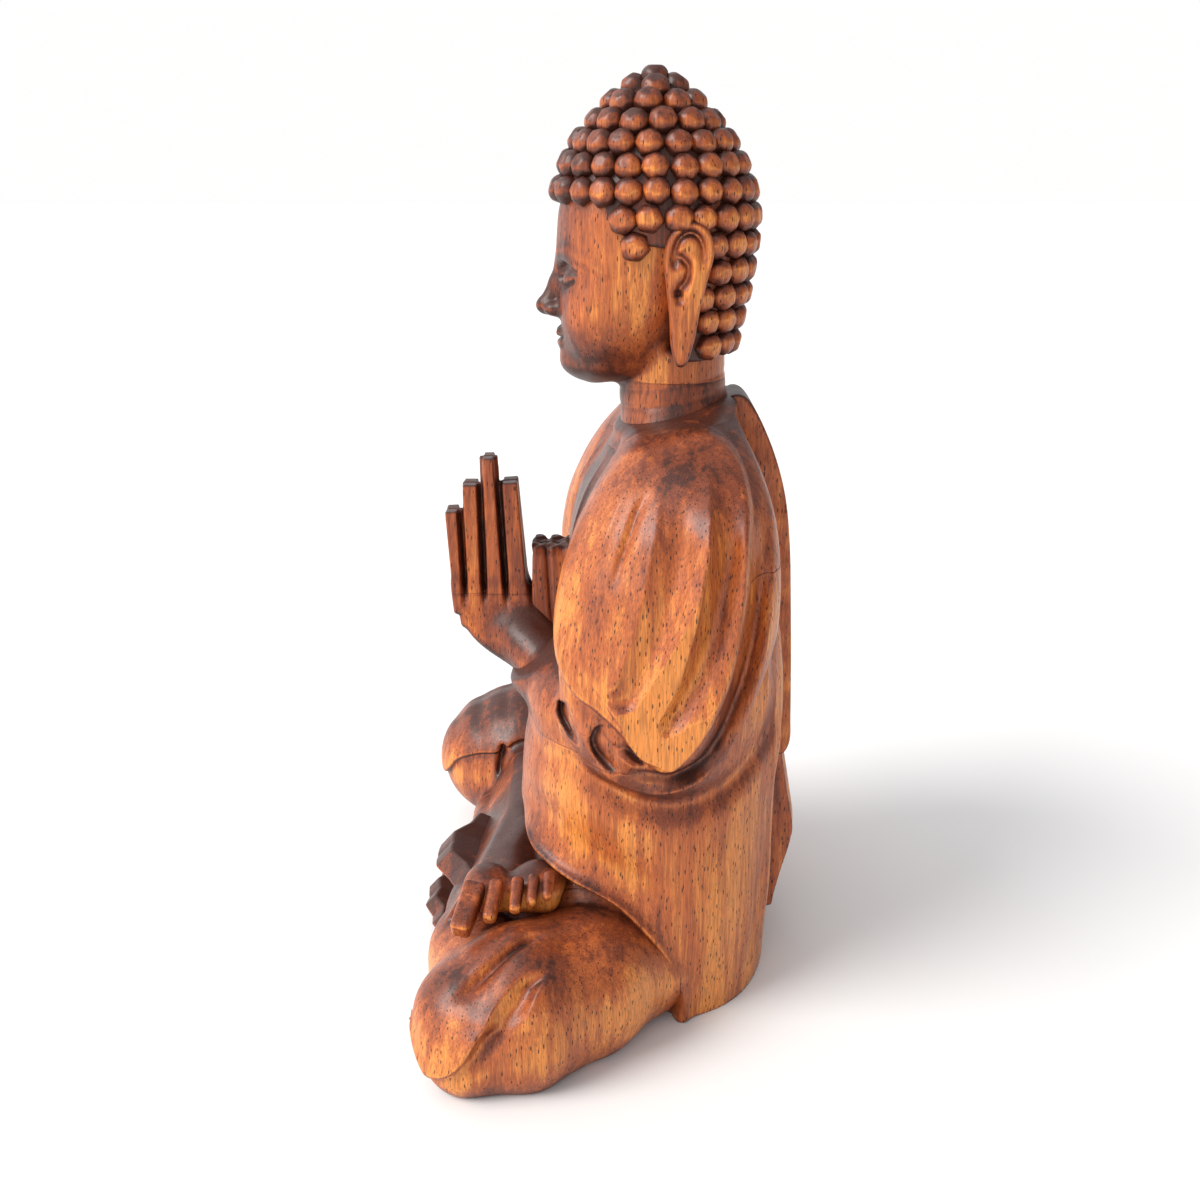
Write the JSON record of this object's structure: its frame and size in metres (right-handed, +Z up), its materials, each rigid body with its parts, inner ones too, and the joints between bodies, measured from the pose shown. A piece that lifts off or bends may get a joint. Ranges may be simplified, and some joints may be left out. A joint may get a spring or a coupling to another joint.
{
  "type": "buddha statue",
  "caption": "Carved wooden figure seated cross-legged with palms pressed together, free standing on its flat underside.",
  "frame": {"origin": "centre of the bounding box at the height of the flat underside", "axes": "+Z up, the figure faces -Y, its left side is +X"},
  "size_m": [0.1444, 0.091, 0.2],
  "materials": {
    "wood": "semi-gloss wax over red-brown hardwood, golden streaks"
  },
  "bodies": {
    "root": {"head": "wood", "hair_cap": "wood", "left_ear": "wood", "right_ear": "wood", "nose": "wood", "lips": "wood", "eyelids": "wood", "brows": "wood", "curl_row_01": "wood", "curl_row_02": "wood", "curl_row_03": "wood", "curl_row_04": "wood", "curl_row_05": "wood", "curl_row_06": "wood", "curl_row_07": "wood", "curl_row_08": "wood", "curl_row_09": "wood", "curl_row_10": "wood", "curl_row_11": "wood", "curl_row_12": "wood", "crown_knob": "wood", "neck": "wood", "robe_collar": "wood", "torso": "wood", "left_sleeve": "wood", "right_sleeve": "wood", "left_forearm": "wood", "right_forearm": "wood", "upper_sash": "wood", "left_palm": "wood", "right_palm": "wood", "left_thumb": "wood", "right_thumb": "wood", "left_little_finger": "wood", "right_little_finger": "wood", "left_ring_finger": "wood", "right_ring_finger": "wood", "left_middle_finger": "wood", "right_middle_finger": "wood", "left_index_finger": "wood", "right_index_finger": "wood", "hips": "wood", "left_thigh": "wood", "right_thigh": "wood", "right_foot": "wood", "right_toes": "wood", "right_shin": "wood", "left_shin": "wood", "lap": "wood", "lower_pleats": "wood", "upper_pleats": "wood", "left_drape": "wood", "right_drape": "wood", "lower_sash": "wood"}
  },
  "joints": []
}
